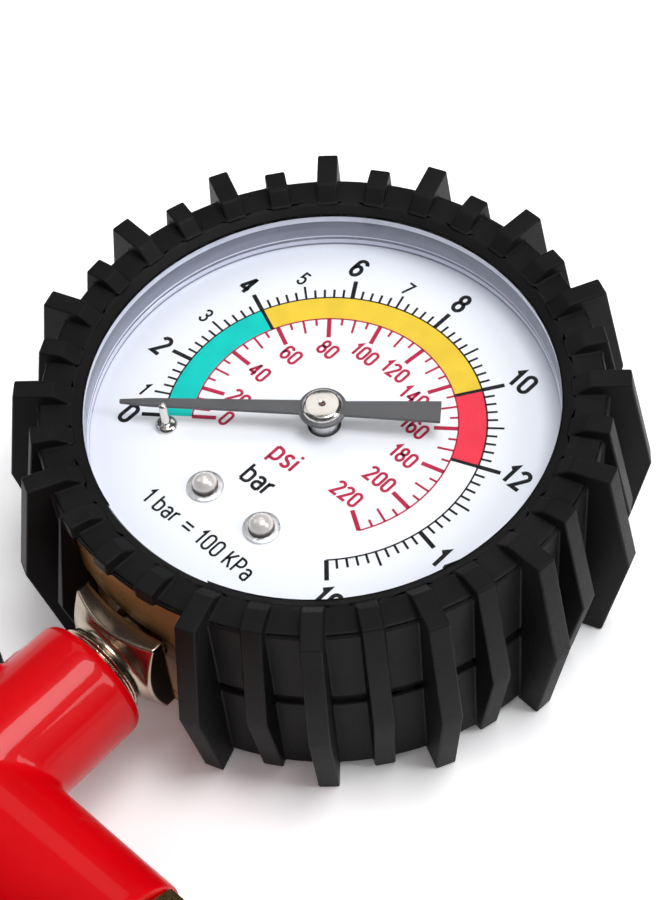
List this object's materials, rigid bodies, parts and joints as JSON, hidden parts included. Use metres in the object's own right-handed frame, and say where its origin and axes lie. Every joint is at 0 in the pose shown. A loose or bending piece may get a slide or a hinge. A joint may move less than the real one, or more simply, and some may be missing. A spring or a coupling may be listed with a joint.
{
  "type": "tyre inflator with gauge",
  "caption": "Hand tyre inflator: cast grip with squeeze lever, valve, hose nose and air inlet, carrying a round dial gauge in a lugged rubber boot.",
  "frame": {"origin": "middle of the tool's outline on the plane it lies on, dial up", "axes": "+Z is the dial's outward normal, the grip runs from the dial towards -Y and +X is the dial's 3 o'clock side, where the hose nose points"},
  "size_m": [0.0866, 0.2104, 0.0352],
  "materials": {
    "rubber_boot": "matt moulded rubber",
    "case_black": "gloss black paint",
    "lens_clear": "clear moulded plastic, modelled as glass",
    "dial_white": "matt white print ground",
    "pointer_grey": "satin dark grey",
    "polished_steel": "polished",
    "movement_brass": "rolled brass",
    "socket_nickel": "nickel plated brass, turned and milled",
    "gun_red": "gloss red paint on cast alloy",
    "lever_black": "black powder coat",
    "pin_steel": "zinc plated steel",
    "clip_steel": "blackened spring steel",
    "seal_rubber": "nitrile rubber",
    "fitting_brass": "turned brass"
  },
  "bodies": {
    "tool": {"boot": "rubber_boot", "gauge_case": "case_black", "lens": "lens_clear", "dial": "dial_white", "dial_screw_1": "polished_steel", "dial_screw_2": "polished_steel", "dial_washer_1": "pin_steel", "dial_washer_2": "pin_steel", "stop_pin": "polished_steel", "front_plate": "movement_brass", "back_plate": "movement_brass", "pillar_1": "movement_brass", "pillar_2": "movement_brass", "hairspring": "movement_brass", "bourdon_tube": "movement_brass", "tube_tip": "movement_brass", "gauge_socket": "socket_nickel", "gun_body": "gun_red", "pivot_pin": "pin_steel", "pivot_clip": "clip_steel", "stem_guide": "fitting_brass", "stem_ring": "seal_rubber", "valve_spring": "pin_steel", "valve_cap": "fitting_brass", "cap_ring": "seal_rubber", "inlet_bush": "fitting_brass", "hose_adapter": "fitting_brass"},
    "pointer": {"pointer": "pointer_grey", "hub_cap": "polished_steel", "pinion_arbor": "movement_brass"},
    "sector": {"sector": "movement_brass", "sector_arbor": "movement_brass"},
    "lever": {"lever": "lever_black"},
    "valve": {"valve_stem": "pin_steel", "valve_disc": "seal_rubber"}
  },
  "joints": [
    {"name": "pointer_turn", "type": "hinge", "parent": "tool", "child": "pointer", "pos_m": [0, 0.06185, 0.026], "axis": [0, 0, -1], "range_deg": [0, 264], "stiffness_Nm_per_rad": 0.0006, "springref_deg": -22.92},
    {"name": "sector_swing", "type": "hinge", "parent": "tool", "child": "sector", "pos_m": [-0.01504, 0.05638, 0.014], "axis": [0, 0, 1], "range_deg": [0, 37.8]},
    {"name": "lever_squeeze", "type": "hinge", "parent": "tool", "child": "lever", "pos_m": [-0.0134, 0.00545, 0.0176], "axis": [0, 0, 1], "range_deg": [0, 5], "stiffness_Nm_per_rad": 6, "springref_deg": -5.73, "deforming": ["valve_spring"]},
    {"name": "valve_open", "type": "slide", "parent": "tool", "child": "valve", "axis": [1, 0, 0], "range_m": [0, 0.003]}
  ],
  "couplings": [
    {"joint": "sector_swing", "follows": "pointer_turn", "ratio": 0.14286},
    {"joint": "valve_open", "follows": "lever_squeeze", "m_per_rad": 0.0336}
  ]
}
